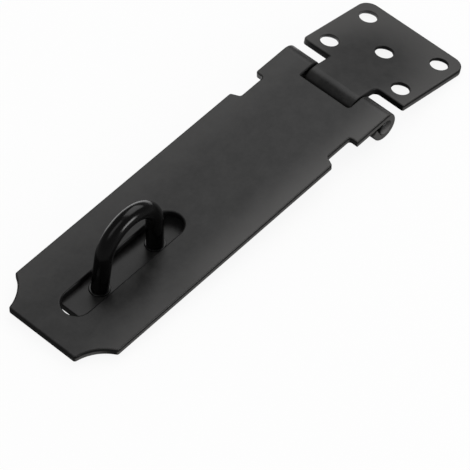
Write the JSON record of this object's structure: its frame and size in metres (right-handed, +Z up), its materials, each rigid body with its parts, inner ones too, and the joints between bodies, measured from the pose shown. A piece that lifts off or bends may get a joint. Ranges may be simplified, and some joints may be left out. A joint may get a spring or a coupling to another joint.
{
  "type": "hasp and staple",
  "caption": "Black steel safety hasp for a padlock: slotted strap hinged to a screw-on leaf, laid over a bent-rod staple on its base plate.",
  "frame": {"origin": "middle of the staple plate's underside, between its four screw holes", "axes": "+Z up from the surface it lies on, +X along the strap from its free end to the hinge, Y along the hinge pin"},
  "size_m": [0.1529, 0.0384, 0.0245],
  "materials": {
    "plate_coating": "satin black powder coat on sheet steel",
    "rod_coating": "semi-gloss black coat on round bar",
    "pin_coating": "satin black coat on round bar"
  },
  "bodies": {
    "fixed_side": {"hinge_leaf": "plate_coating", "staple_loop": "rod_coating", "staple_plate": "plate_coating"},
    "swinging_strap": {"strap": "plate_coating", "hinge_pin": "pin_coating"}
  },
  "joints": [
    {"name": "strap_swing", "type": "hinge", "parent": "fixed_side", "child": "swinging_strap", "pos_m": [0.084, 0, 0.0044], "axis": [0, 1, 0], "range_deg": [0, 100]}
  ]
}
